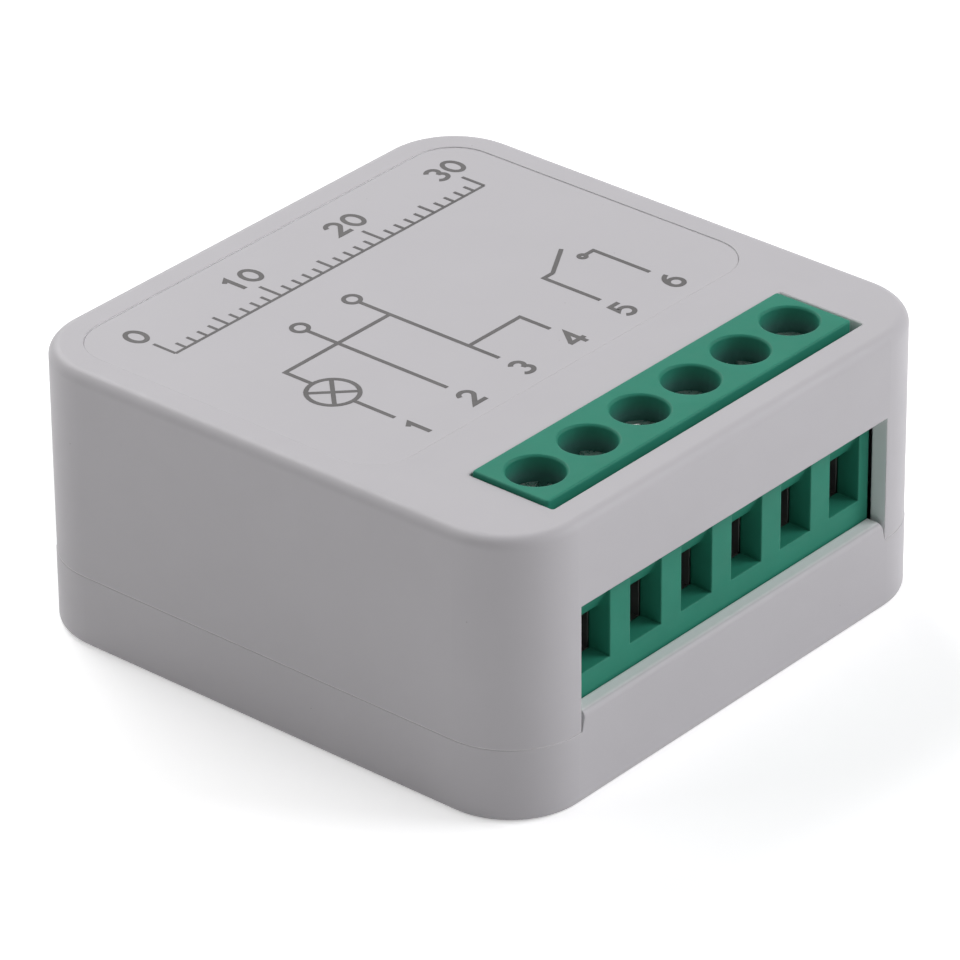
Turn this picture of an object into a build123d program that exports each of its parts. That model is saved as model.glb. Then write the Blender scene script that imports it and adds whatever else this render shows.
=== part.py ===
from build123d import *
import math
import os

# A flat square relay module with a six-pole screw terminal along one edge.
# +X runs along the row of terminals, -Y faces the wires and +Z is up.
# The origin is the middle of the underside. Lengths are in millimetres.
# A share is a part of the length named beside it, and has no unit.

# Case. Its width follows from the row of poles and the margins at the row's ends
poles = 6
pitch = 5.0
block_margin = 6.0
case_depth = 42.0
case_height = 20.0
corner_radius = 5.5
wall = 1.2
roof = 1.4
floor = 1.5
seam_height = 5.2
seam_edge = 0.04
seam_step = 0.04
top_edge_radius = 0.8
base_edge_radius = 0.5
lap_height = 0.8
lap_width = 0.55
lap_gap = 0.05
overrun = 0.5

# Label film in its shallow recess on the roof
label_margin = 2.3
label_slot_gap = 4.2
label_recess = 0.15
label_thickness = 0.1
label_gap = 0.02

# Snap arms of the base and their pockets in the upper shell, placed by shares of the inner depth
arm_place_share = 0.455
arm_thickness = 1.0
arm_width = 5.0
arm_wall_gap = 0.2
arm_height = 9.2
hook_reach = 0.55
hook_height = 0.9
hook_slope = 0.7
pocket_depth = 0.6
pocket_gap = 0.1

# Main board and what holds it
board_thickness = 1.6
board_rise = 3.1
board_gap = 0.3
post_diameter = 3.0
post_inset_x = 4.4
post_inset_y = 5.2
peg_diameter = 1.6
peg_height = 0.7
peg_gap = 0.15
rib_thickness = 1.2
rib_reach = 2.6
rib_inset = 5.6
lead_gap = 0.12
tail = 1.0

# Terminal block
block_wall_gap = 0.1
block_proud = 0.3
block_depth = 9.0
tower_setback = 1.6
tower_depth = 6.0
tower_corner = 0.2
tower_edge = 0.12
shoulder_gap = 0.2
front_shoulder_rise = 1.0
rear_shoulder_rise = 0.8
entry_floor_rise = 1.95
entry_wall = 1.7
entry_lip = 0.55
funnel_depth = 0.92
funnel_rise = 1.7
chamber_floor = 0.9
chamber_wall = 0.85
hole_wall = 1.2
hole_edge = 0.12

# Slot in the roof and window in the front wall for the terminal block
slot_gap_left = 0.08
slot_gap_right = 0.6
slot_gap_front = 0.5
slot_gap_back = 0.15
slot_corner = 0.15
slot_edge = 0.12
window_side_gap = 0.25
window_entry_gap = 2.6
tongue_rise = 1.3
tongue_gap = 0.05
tongue_taper = 0.3
tongue_edge_radius = 0.45

# Terminal screw, and how far each of the six happens to be turned, in degrees
head_clearance = 0.075
screw_recess = 1.7
head_thickness = 1.6
head_edge = 0.2
head_ledge = 0.325
shank_tip = 0.4
blade_slot = 0.65
blade_depth = 0.8
cross_slot = 0.55
cross_rim = 0.7
screw_turns = (24, 68, -38, 2, 57, -31)

# Clamp cage, which rises as its screw turns
cage_side_gap = 0.1
cage_front_gap = 0.15
cage_depth = 4.7
cage_side = 0.4
cage_floor = 0.8
cage_floor_gap = 0.15
nut_thickness = 1.2
nut_clearance = 0.05
nut_bar_gap = 0.1
lift_gap = 0.1
lift_rest = 0.15

# Contact bar, the fixed half of each clamp
bar_thickness = 0.8
bar_entry_gap = 0.1
bar_cage_gap = 0.2
bar_side_gap = 0.275
bar_setback = 0.6
pin_width = 1.0
pin_tail = 1.5
pin_gap = 0.1

# Pairing button in the rear wall and the switch behind it
button_place_share = -0.58
button_diameter = 3.9
button_clearance = 0.08
button_recess = 0.1
button_flange_rim = 0.6
button_flange = 0.6
button_seat_gap = 0.05
button_stem = 1.8
button_edge = 0.25
switch_axis_rise = 2.9
switch_width = 6.0
switch_depth = 3.6
switch_height = 5.2
switch_edge_gap = 2.1
plunger_diameter = 2.4
plunger_clearance = 0.05
plunger_reach = 0.9
plunger_seat = 1.0
plunger_room = 0.6

# Relay. It fills the room between the block and the switch, and nearly reaches the roof.
# Its place across and its width are shares of the board's half width
relay_place_share = -0.58
relay_width_share = 0.694
relay_block_gap = 1.7
relay_switch_gap = 2.8
relay_roof_gap = 0.6
relay_cover_wall = 0.6
relay_cover_roof = 0.65
relay_cover_gap = 0.05
relay_cover_edge = 0.5
relay_base_height = 1.5
relay_end_gap = 0.35
relay_pin_width = 1.0

# Inside the relay: shares along its length
bobbin_length_share = 0.47
core_share = 0.18
core_stub_share = 0.115
pole_share = 0.32
winding_corner_share = 0.12
spring_start_share = 0.11
spring_end_share = 0.065
contact_share = 0.12
contact_inset_share = 0.07
coil_pin_setback_share = 0.075

# Inside the relay: shares across its width
bobbin_width_share = 0.74
yoke_width_share = 0.55
armature_width_share = 0.63
spring_width_share = 0.25
fixed_width_share = 0.285
coil_pin_spread_share = 0.68

# Inside the relay: thicknesses, gaps and the armature's swing in degrees
yoke_thickness = 0.8
coil_yoke_gap = 0.3
bobbin_flange_height = 0.6
bobbin_wall = 0.7
bore_clearance = 0.05
pole_height = 0.6
winding_inset = 0.3
armature_gap = 0.05
armature_thickness = 0.8
armature_room = 1.7
armature_overhang = 0.1
armature_tail = 0.3
armature_swing = 3.5
spring_thickness = 0.15
contact_height = 0.45
contact_gap = 0.05
fixed_contact_height = 0.55
shelf_thickness = 0.4
fixed_leg = 0.5
coil_pin_diameter = 0.6

# Radio module, lying on its header strips behind the capacitors.
# Its place across and its width are shares of the board's half width
radio_place_share = 0.514
radio_width_share = 0.809
radio_can_gap = 0.85
radio_edge_gap = 1.1
radio_thickness = 0.8
strip_height = 2.0
strip_width = 1.8
radio_pins = 5
pin_row_margin = 3.0
radio_pin_size = 0.5
radio_pin_inset = 0.7
radio_pin_head = 0.4
shield_depth_share = 0.625
shield_side_gap = 1.2
shield_height = 2.0
shield_skin = 0.2
shield_inset = 1.0
radio_chip_size = 5.0
radio_chip_height = 0.85

# Row of supply parts behind the block: places and diameters are shares of the board's half width
row_block_gap = 1.15
bulk_place_share = 0.727
bulk_share = 0.344
bulk_roof_gap = 1.4
output_place_share = 0.36
output_share = 0.273
output_roof_gap = 4.4
can_groove = 0.25
can_groove_height = 0.8
can_edge = 0.4
inductor_place_share = 0.011
drum_share = 0.328
drum_winding_share = 0.273
drum_waist_share = 0.153
drum_height = 6.4
drum_rim = 1.0
lead_diameter = 0.5
lead_pitch_share = 0.137

# Parts behind that row. Places and plan sizes are pairs of shares: of the board's half width,
# and of the depth from the row's back to the board's rear edge
varistor_place_share = (-0.06, 0.211)
varistor_share = 0.325
varistor_pitch_share = 0.22
varistor_thickness = 3.0
varistor_edge = 0.75
varistor_lift = 0.4
fuse_place_share = (-0.06, 0.623)
fuse_length_share = 0.29
fuse_overhang_share = 0.044
fuse_diameter = 2.6
fuse_edge = 0.4
fuse_lift = 0.3

# Moulded parts soldered to the faces of the board
rectifier_place_share = (0.38, 0.254)
rectifier_size_share = (0.257, 0.171)
rectifier_height = 2.4
converter_place_share = (0.38, 0.571)
converter_size_share = (0.268, 0.171)
converter_height = 1.5
regulator_place_share = (0.7, 0.297)
regulator_size_share = (0.246, 0.11)
regulator_height = 1.5
transistor_place_share = (-0.1, 0.76)
transistor_size_share = (0.158, 0.057)
transistor_height = 1.0
diode_place_shares = ((0.68, 0.503), (0.1, 0.04), (-0.14, 0.623))
diode_size_share = (0.235, 0.114)
diode_height = 2.0
chip_resistor_place_shares = ((0.04, 0.383), (0.04, 0.503), (0.04, 0.623), (0.04, 0.743), (0.3, 0.777))
chip_capacitor_place_shares = ((0.5, 0.777), (0.5, 0.074), (0.3, 0.023), (0.72, 0.16))
chip_size_share = (0.109, 0.055)
chip_height = 0.5
lamp_place_share = (-0.2, 0.914)
lamp_size_share = (0.087, 0.035)
lamp_height = 0.6

# Sizes and places that follow from the ones above
block_width = poles * pitch
half_width = block_width / 2 + block_margin
half_depth = case_depth / 2
inner_half_width = half_width - wall
inner_half_depth = half_depth - wall
inner_radius = corner_radius - wall
roof_underside = case_height - roof

board_bottom = floor + board_rise
board_top = board_bottom + board_thickness
board_half_width = inner_half_width - arm_wall_gap - arm_thickness - board_gap
board_half_depth = inner_half_depth - board_gap
board_radius = inner_radius - board_gap
board_room = roof_underside - board_top

block_front = -inner_half_depth + block_wall_gap
block_back = block_front + block_depth
tower_front = block_front + tower_setback
tower_back = tower_front + tower_depth
block_top = case_height + block_proud
shoulder_top = roof_underside - shoulder_gap
screw_y = tower_front + tower_depth / 2
pole_places = [(pole + 0.5) * pitch - block_width / 2 for pole in range(poles)]

chamber_width = pitch - chamber_wall
entry_width = chamber_width - 2 * entry_lip
hole_diameter = pitch - hole_wall
head_diameter = hole_diameter - 2 * head_clearance
shank_diameter = head_diameter - 2 * head_ledge
cross_length = head_diameter - 2 * cross_rim
cage_half_width = chamber_width / 2 - cage_side_gap
bar_half_width = cage_half_width - cage_side - bar_side_gap

head_top = block_top - screw_recess
head_bottom = head_top - head_thickness
entry_floor = board_top + entry_floor_rise
clamp_stack = bar_entry_gap + bar_thickness + nut_bar_gap + nut_thickness + lift_gap
entry_height = (head_bottom - entry_floor - clamp_stack + lift_rest) / 2
entry_top = entry_floor + entry_height
chamber_front = block_front + entry_wall
chamber_bottom = board_top + chamber_floor
bar_bottom = entry_top + bar_entry_gap
bar_top = bar_bottom + bar_thickness
cage_front = chamber_front + cage_front_gap
cage_back = cage_front + cage_depth
cage_bottom = chamber_bottom + cage_floor_gap
nut_bottom = bar_top + nut_bar_gap
nut_top = nut_bottom + nut_thickness
bar_leg_front = cage_back + bar_cage_gap
bar_leg_back = bar_leg_front + bar_thickness

slot_left = -block_width / 2 - slot_gap_left
slot_right = block_width / 2 + slot_gap_right
slot_front = tower_front - slot_gap_front
slot_back = tower_back + slot_gap_back
window_half = block_width / 2 + window_side_gap
window_top = entry_top + window_entry_gap
tongue_top = seam_height + tongue_rise

label_front = slot_back + label_slot_gap
label_half_width = half_width - label_margin
label_depth = half_depth - label_margin - label_front
label_middle = label_front + label_depth / 2
label_radius = corner_radius - label_margin
label_seat = case_height - label_recess

arm_outer = inner_half_width - arm_wall_gap
arm_place = arm_place_share * inner_half_depth
hook_bottom = arm_height - hook_slope - hook_height
post_x = inner_half_width - post_inset_x
post_y = inner_half_depth - post_inset_y
rib_y = inner_half_depth - rib_inset

button_x = button_place_share * board_half_width
button_z = board_top + switch_axis_rise
button_hole = button_diameter + 2 * button_clearance
flange_diameter = button_hole + 2 * button_flange_rim
flange_back = inner_half_depth - button_seat_gap
flange_front = flange_back - button_flange
switch_back = board_half_depth - switch_edge_gap
switch_front = switch_back - switch_depth
plunger_tip = switch_back + plunger_reach

relay_front = block_back + relay_block_gap
relay_length = switch_front - relay_switch_gap - relay_front
relay_width = relay_width_share * board_half_width
relay_height = board_room - relay_roof_gap
relay_x = relay_place_share * board_half_width
relay_y = relay_front + relay_length / 2
relay_place = Pos(relay_x, relay_y, board_top) * Rot(0, 0, -90)
relay_inner_half_length = relay_length / 2 - relay_cover_wall
relay_inner_half_width = relay_width / 2 - relay_cover_wall
board_underside = -board_thickness

bobbin_half_length = bobbin_length_share * relay_length / 2
bobbin_half_width = bobbin_width_share * relay_width / 2
core_diameter = core_share * relay_length
bobbin_bore = core_diameter + 2 * bore_clearance
bobbin_tube = bobbin_bore + 2 * bobbin_wall
yoke_half_width = yoke_width_share * relay_width / 2
yoke_back = -relay_inner_half_length + relay_end_gap
yoke_inner = yoke_back + yoke_thickness
yoke_foot_top = relay_base_height + yoke_thickness
coil_x = yoke_inner + coil_yoke_gap + bobbin_half_length
armature_top = relay_height - relay_cover_roof - armature_room
armature_bottom = armature_top - armature_thickness
pole_top = armature_bottom - armature_gap
core_top = pole_top - pole_height
pivot_x = yoke_back + yoke_thickness / 2
armature_end = coil_x + bobbin_half_length + armature_overhang
fixed_leg_outer = relay_inner_half_length - relay_end_gap
spring_end = fixed_leg_outer - spring_end_share * relay_length
contact_diameter = contact_share * relay_length
contact_x = spring_end - contact_inset_share * relay_length
fixed_contact_top = armature_top - contact_height - contact_gap
fixed_contact_bottom = fixed_contact_top - fixed_contact_height
shelf_bottom = fixed_contact_bottom - shelf_thickness
fixed_pin_x = fixed_leg_outer - fixed_leg / 2
coil_pin_x = yoke_back + coil_pin_setback_share * relay_length
coil_pin_across = coil_pin_spread_share * relay_width / 2

bulk_diameter = bulk_share * board_half_width
output_diameter = output_share * board_half_width
drum_diameter = drum_share * board_half_width
drum_waist = drum_waist_share * board_half_width
lead_pitch = lead_pitch_share * board_half_width
row_y = block_back + row_block_gap + bulk_diameter / 2
row_back = row_y + bulk_diameter / 2
rear_room = board_half_depth - row_back

radio_x = radio_place_share * board_half_width
radio_half_width = radio_width_share * board_half_width / 2
radio_front = row_back + radio_can_gap
radio_back = board_half_depth - radio_edge_gap
radio_bottom = board_top + strip_height
radio_top = radio_bottom + radio_thickness
shield_depth = shield_depth_share * (radio_back - radio_front)
shield_front = radio_front + shield_inset
radio_pin_pitch = (shield_depth - pin_row_margin) / radio_pins
radio_pin_across = radio_half_width - radio_pin_inset

varistor_diameter = varistor_share * rear_room
varistor_pitch = varistor_pitch_share * rear_room
fuse_length = fuse_length_share * rear_room
fuse_reach = fuse_length / 2 + fuse_overhang_share * rear_room


def span(x_range, y_range, z_range):
    """Box between a low and a high limit on each axis."""
    ranges = (x_range, y_range, z_range)
    size = [high - low for low, high in ranges]
    middle = [(low + high) / 2 for low, high in ranges]
    return Pos(*middle) * Box(*size)


def rounded_plate(half_x, half_y, radius, z_low, z_high):
    """Plate with rounded corners, centred on the origin in plan."""
    outline = Plane.XY.offset(z_low) * RectangleRounded(2 * half_x, 2 * half_y, radius)
    return extrude(outline, z_high - z_low)


def upright(diameter, x, y, z_low, z_high):
    """Upright cylinder between two heights."""
    height = z_high - z_low
    return Pos(x, y, z_low + height / 2) * Cylinder(diameter / 2, height)


def along_y(diameter, x, z, y_low, y_high):
    """Cylinder along Y between two places."""
    length = y_high - y_low
    return Pos(x, y_low + length / 2, z) * Rot(90, 0, 0) * Cylinder(diameter / 2, length)


def in_rear_room(place_share):
    """Place behind the row of supply parts, from shares across and along the board."""
    return place_share[0] * board_half_width, row_back + place_share[1] * rear_room


def side_places():
    """The four places of what repeats on both side walls: side, front or back."""
    return [(side, end) for side in (-1, 1) for end in (-1, 1)]


def sideways(side, near, far):
    """Limits along X of something that runs outwards on one side."""
    return tuple(sorted((side * near, side * far)))


def row_leads(place_share):
    """Places of the two leads of a part in the row behind the block."""
    x = place_share * board_half_width
    return [(x - lead_pitch / 2, row_y), (x + lead_pitch / 2, row_y)]


def rear_leads(place_share, half_pitch):
    """Places of the two leads, one behind the other, of a part in the rear room."""
    x, y = in_rear_room(place_share)
    return [(x, y - half_pitch), (x, y + half_pitch)]


def radio_pin_places():
    """Places of the radio module's pins, in two rows."""
    rows = [shield_front + number * radio_pin_pitch for number in range(1, radio_pins + 1)]
    return [(radio_x + side * radio_pin_across, row) for side in (-1, 1) for row in rows]


def from_relay(along, across):
    """Place on the board of a point of the relay."""
    return relay_x + across, relay_y - along


def leads():
    """Places and diameters of all the board's round holes for leads."""
    places = row_leads(bulk_place_share)
    places += row_leads(output_place_share)
    places += row_leads(inductor_place_share)
    places += rear_leads(varistor_place_share, varistor_pitch / 2)
    places += rear_leads(fuse_place_share, fuse_reach)
    return places


def is_slot_rim(edge):
    """Whether an edge of the roof's face lies around the slot."""
    place = edge.center()
    beside_x = slot_left - overrun < place.X < slot_right + overrun
    beside_y = slot_front - overrun < place.Y < slot_back + overrun
    return beside_x and beside_y


def top_shell():
    """Upper shell: roof and walls, with the slot, the window and the button's hole."""
    body = rounded_plate(
        half_width - seam_step, half_depth - seam_step, corner_radius - seam_step, seam_height, case_height
    )
    body = fillet(body.edges().group_by(Axis.Z)[-1], top_edge_radius)
    body -= rounded_plate(
        inner_half_width, inner_half_depth, inner_radius, seam_height - overrun, roof_underside
    )
    lap = lap_width + lap_gap
    body -= rounded_plate(
        inner_half_width + lap, inner_half_depth + lap, inner_radius + lap,
        seam_height - overrun, seam_height + lap_height + lap_gap,
    )
    slot_width = slot_right - slot_left
    slot_depth = slot_back - slot_front
    slot_middle = Pos((slot_left + slot_right) / 2, (slot_front + slot_back) / 2, roof_underside - overrun)
    slot = extrude(RectangleRounded(slot_width, slot_depth, slot_corner), roof + 2 * overrun)
    body -= slot_middle * slot
    body = fillet(body.edges().group_by(Axis.Z)[-1].filter_by(is_slot_rim), slot_edge)
    body -= span(
        (-window_half, window_half),
        (-half_depth - overrun, -inner_half_depth + overrun),
        (seam_height - overrun, window_top),
    )
    recess = Pos(0, label_middle, label_seat) * extrude(
        RectangleRounded(2 * label_half_width, label_depth, label_radius), label_recess + overrun
    )
    body -= recess
    for side, end in side_places():
        arm_y = end * arm_place
        pocket_half = arm_width / 2 + pocket_gap
        body -= span(
            sideways(side, inner_half_width - overrun, inner_half_width + pocket_depth),
            (arm_y - pocket_half, arm_y + pocket_half),
            (hook_bottom - pocket_gap, arm_height + pocket_gap),
        )
        rib_middle = end * rib_y
        body += span(
            sideways(side, inner_half_width - rib_reach, inner_half_width + wall / 2),
            (rib_middle - rib_thickness / 2, rib_middle + rib_thickness / 2),
            (board_top, roof_underside + roof / 2),
        )
    body -= along_y(button_hole, button_x, button_z, inner_half_depth - overrun, half_depth + overrun)
    return body


def tongue():
    """Tongue of the base, which closes the bottom of the front window."""
    half_low = window_half - tongue_gap
    half_high = half_low - tongue_taper
    front = Plane.XZ.offset(inner_half_depth)
    outline = front * Polygon(
        (-half_low, seam_height - overrun), (half_low, seam_height - overrun), (half_low, seam_height),
        (half_high, tongue_top), (-half_high, tongue_top), (-half_low, seam_height),
        align=None,
    )
    solid = extrude(outline, wall)
    front_top = solid.edges().filter_by(Axis.X).group_by(Axis.Z)[-1].sort_by(Axis.Y)[0]
    return fillet(front_top, tongue_edge_radius)


def snap_arm(arm_y):
    """Snap arm on the right, standing on the floor with its hook facing the side wall."""
    root = arm_outer - arm_thickness
    arm = span((root, arm_outer), (arm_y - arm_width / 2, arm_y + arm_width / 2), (floor / 2, arm_height))
    tip = arm_outer + hook_reach
    hook_plane = Plane.XZ.offset(-arm_y - arm_width / 2)
    hook_face = hook_plane * Polygon(
        (root, hook_bottom), (tip, hook_bottom), (tip, hook_bottom + hook_height),
        (arm_outer, arm_height), (root, arm_height),
        align=None,
    )
    return arm + extrude(hook_face, arm_width)


def base_cover():
    """Base cover: a tray with its lap rim, tongue, snap arms and board posts."""
    body = rounded_plate(half_width, half_depth, corner_radius, 0, seam_height)
    body = fillet(body.edges().group_by(Axis.Z)[0], base_edge_radius)
    body = chamfer(body.edges().group_by(Axis.Z)[-1], seam_edge)
    body += rounded_plate(
        inner_half_width + lap_width, inner_half_depth + lap_width, inner_radius + lap_width,
        seam_height - overrun, seam_height + lap_height,
    )
    body -= rounded_plate(
        inner_half_width, inner_half_depth, inner_radius, floor, seam_height + lap_height + overrun
    )
    body += tongue()
    for side, end in side_places():
        arm = snap_arm(end * arm_place)
        body += arm if side > 0 else mirror(arm, about=Plane.YZ)
        x, y = side * post_x, end * post_y
        body += upright(post_diameter, x, y, floor / 2, board_bottom)
        if end > 0:
            body += upright(peg_diameter, x, y, floor, board_top + peg_height)
    return body


def label_film():
    """Printed film, laid in the roof's shallow recess."""
    outline = RectangleRounded(
        2 * (label_half_width - label_gap), label_depth - 2 * label_gap, label_radius - label_gap
    )
    return Pos(0, label_middle, label_seat) * extrude(outline, label_thickness)


def main_board():
    """Main board with the holes for pins, leads and locating pegs."""
    body = rounded_plate(board_half_width, board_half_depth, board_radius, board_bottom, board_top)
    low, high = board_bottom - overrun, board_top + overrun
    holes = [upright(peg_diameter + 2 * peg_gap, side * post_x, post_y, low, high) for side in (-1, 1)]
    pin_hole = math.hypot(pin_width, bar_thickness) + 2 * pin_gap
    pin_y = (bar_leg_front + bar_leg_back) / 2
    holes += [upright(pin_hole, x, pin_y, low, high) for x in pole_places]
    for along in (pivot_x, fixed_pin_x):
        x, y = from_relay(along, 0)
        holes.append(upright(pin_hole, x, y, low, high))
    for side in (-1, 1):
        x, y = from_relay(coil_pin_x, side * coil_pin_across)
        holes.append(upright(coil_pin_diameter + 2 * lead_gap, x, y, low, high))
    holes += [upright(lead_diameter + 2 * lead_gap, x, y, low, high) for x, y in leads()]
    pin_round = radio_pin_size * math.sqrt(2) + 2 * lead_gap
    holes += [upright(pin_round, x, y, low, high) for x, y in radio_pin_places()]
    return body - holes


def terminal_housing():
    """Six-pole housing: stepped body, screw holes, wire entries with funnels, open back."""
    front_step = shoulder_top - front_shoulder_rise
    rear_step = shoulder_top - rear_shoulder_rise
    side_plane = Plane.YZ.offset(-block_width / 2)
    profile = side_plane * Polygon(
        (block_front, board_top), (block_back, board_top), (block_back, rear_step),
        (tower_back, shoulder_top), (tower_back, block_top), (tower_front, block_top),
        (tower_front, shoulder_top), (block_front, front_step),
        align=None,
    )
    body = extrude(profile, block_width)
    tower_edges = body.edges().filter_by(Axis.Z).filter_by(lambda edge: edge.center().Z > shoulder_top)
    body = fillet(tower_edges, tower_corner)
    body = fillet(body.edges().group_by(Axis.Z)[-1], tower_edge)
    return body - [pole_cut(x) for x in pole_places]


def pole_cut(x):
    """Everything that one pole takes out of the housing."""
    hole = upright(hole_diameter, x, screw_y, head_bottom - overrun, block_top + overrun)
    rim = Pos(x, screw_y, block_top - hole_edge / 2) * Cone(
        hole_diameter / 2, hole_diameter / 2 + hole_edge, hole_edge
    )
    chamber = span(
        (x - chamber_width / 2, x + chamber_width / 2),
        (chamber_front, block_back + overrun),
        (chamber_bottom, head_bottom),
    )
    entry_plane = Plane.YZ.offset(x - entry_width / 2)
    entry = extrude(
        entry_plane * Polygon(
            (block_front - overrun, entry_floor),
            (chamber_front + overrun, entry_floor),
            (chamber_front + overrun, entry_top),
            (block_front + funnel_depth, entry_top),
            (block_front, entry_top + funnel_rise),
            (block_front - overrun, entry_top + funnel_rise),
            align=None,
        ),
        entry_width,
    )
    pin_half = pin_width / 2 + pin_gap
    pin_slot = span(
        (x - pin_half, x + pin_half),
        (bar_leg_front - pin_gap, bar_leg_back + pin_gap),
        (board_top - overrun, chamber_bottom + overrun),
    )
    return hole + rim + chamber + entry + pin_slot


def terminal_screw(x, turn):
    """Screw with a slotted and crossed head, its tip on the contact bar."""
    head = upright(head_diameter, x, screw_y, head_bottom, head_top)
    head = chamfer(head.edges().group_by(Axis.Z)[-1], head_edge)
    shank = upright(shank_diameter, x, screw_y, bar_top, head_bottom + overrun)
    shank = chamfer(shank.edges().group_by(Axis.Z)[0], shank_tip)
    slot_middle = Pos(x, screw_y, head_top) * Rot(0, 0, turn)
    blade = slot_middle * Box(hole_diameter, blade_slot, 2 * blade_depth)
    cross = slot_middle * Box(cross_slot, cross_length, 2 * blade_depth)
    return head + shank - blade - cross


def clamp_cage(x):
    """Rising clamp: a sleeve with a thick tapped top, open to the wire."""
    sleeve = span((x - cage_half_width, x + cage_half_width), (cage_front, cage_back), (cage_bottom, nut_top))
    inner_half = cage_half_width - cage_side
    mouth = span(
        (x - inner_half, x + inner_half),
        (cage_front - overrun, cage_back + overrun),
        (cage_bottom + cage_floor, nut_bottom),
    )
    tapped = upright(shank_diameter + 2 * nut_clearance, x, screw_y, nut_bottom - overrun, nut_top + overrun)
    sides = sleeve.edges().filter_by(Axis.Y)
    return fillet(sides, cage_side) - mouth - tapped


def contact_bar(x):
    """Contact bar: a tongue through the cage, a leg behind it and a board pin."""
    across = (x - bar_half_width, x + bar_half_width)
    tongue_part = span(across, (cage_front + bar_setback, bar_leg_back), (bar_bottom, bar_top))
    leg = span(across, (bar_leg_front, bar_leg_back), (chamber_bottom, bar_top))
    pin = span(
        (x - pin_width / 2, x + pin_width / 2),
        (bar_leg_front, bar_leg_back),
        (board_bottom - pin_tail, chamber_bottom + overrun),
    )
    return tongue_part + leg + pin


def relay_base():
    """Base plate of the relay, with slots for its pins."""
    reach = relay_inner_half_length - relay_cover_gap
    breadth = relay_inner_half_width - relay_cover_gap
    plate = span((-reach, reach), (-breadth, breadth), (0, relay_base_height))
    low, high = -overrun, relay_base_height + overrun
    half_pin = relay_pin_width / 2 + pin_gap
    for along, thick in ((pivot_x, yoke_thickness), (fixed_pin_x, fixed_leg)):
        half_thick = thick / 2 + pin_gap
        plate -= span((along - half_thick, along + half_thick), (-half_pin, half_pin), (low, high))
    for side in (-1, 1):
        plate -= upright(
            coil_pin_diameter + 2 * lead_gap, coil_pin_x, side * coil_pin_across, low, high
        )
    return plate


def relay_cover():
    """Dust cover of the relay."""
    outer = span(
        (-relay_length / 2, relay_length / 2), (-relay_width / 2, relay_width / 2), (0, relay_height)
    )
    outer = fillet(outer.edges().group_by(Axis.Z)[-1], relay_cover_edge)
    inner = span(
        (-relay_inner_half_length, relay_inner_half_length),
        (-relay_inner_half_width, relay_inner_half_width),
        (-overrun, relay_height - relay_cover_roof),
    )
    return outer - inner


def relay_yoke():
    """Bent yoke: foot below the coil, upright leg behind it, and the common pin."""
    across = (-yoke_half_width, yoke_half_width)
    foot = span((yoke_back, coil_x + core_diameter), across, (relay_base_height, yoke_foot_top))
    leg = span((yoke_back, yoke_inner), across, (relay_base_height, pole_top))
    pin = span(
        (yoke_back, yoke_inner),
        (-relay_pin_width / 2, relay_pin_width / 2),
        (board_underside - tail, relay_base_height + yoke_thickness / 2),
    )
    stub_bore = core_stub_share * relay_length + 2 * bore_clearance
    return foot + leg + pin - upright(
        stub_bore, coil_x, 0, relay_base_height - overrun, yoke_foot_top + overrun
    )


def relay_core():
    """Core: a stub in the yoke, the shaft through the bobbin and the pole face."""
    shaft = upright(core_diameter, coil_x, 0, yoke_foot_top, core_top)
    stub = upright(core_stub_share * relay_length, coil_x, 0, relay_base_height, yoke_foot_top + overrun)
    pole = upright(pole_share * relay_length, coil_x, 0, core_top, pole_top)
    return shaft + stub + pole


def relay_bobbin():
    """Bobbin: a tube between two square flanges."""
    along = (coil_x - bobbin_half_length, coil_x + bobbin_half_length)
    across = (-bobbin_half_width, bobbin_half_width)
    lower = span(along, across, (yoke_foot_top, yoke_foot_top + bobbin_flange_height))
    upper = span(along, across, (core_top - bobbin_flange_height, core_top))
    tube = upright(bobbin_tube, coil_x, 0, yoke_foot_top, core_top)
    return lower + upper + tube - upright(bobbin_bore, coil_x, 0, yoke_foot_top - overrun, core_top + overrun)


def relay_coil():
    """Wound coil between the bobbin's flanges."""
    low = yoke_foot_top + bobbin_flange_height
    high = core_top - bobbin_flange_height
    winding = Pos(coil_x, 0, 0) * rounded_plate(
        bobbin_half_length - winding_inset, bobbin_half_width - winding_inset,
        winding_corner_share * relay_length, low, high,
    )
    return winding - upright(bobbin_tube + 2 * bore_clearance, coil_x, 0, low - overrun, high + overrun)


def opened(shape):
    """A piece of the armature, swung from the closed pose to the open one about the pivot."""
    there = Pos(pivot_x, 0, armature_bottom)
    back = Pos(-pivot_x, 0, -armature_bottom)
    return there * Rot(0, -armature_swing, 0) * back * shape


def relay_armature():
    """Armature plate, hinged on the yoke's upper edge."""
    half = armature_width_share * relay_width / 2
    along = (pivot_x - armature_tail, armature_end)
    return opened(span(along, (-half, half), (armature_bottom, armature_top)))


def relay_spring():
    """Contact spring, carried on the armature."""
    half = spring_width_share * relay_width / 2
    along = (pivot_x + spring_start_share * relay_length, spring_end)
    return opened(span(along, (-half, half), (armature_top, armature_top + spring_thickness)))


def relay_moving_contact():
    """Moving contact under the end of the spring."""
    low = armature_top - contact_height
    return opened(upright(contact_diameter, contact_x, 0, low, armature_top))


def relay_fixed_contact():
    """Fixed contact on the shelf of its terminal."""
    return upright(contact_diameter, contact_x, 0, fixed_contact_bottom, fixed_contact_top)


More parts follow.
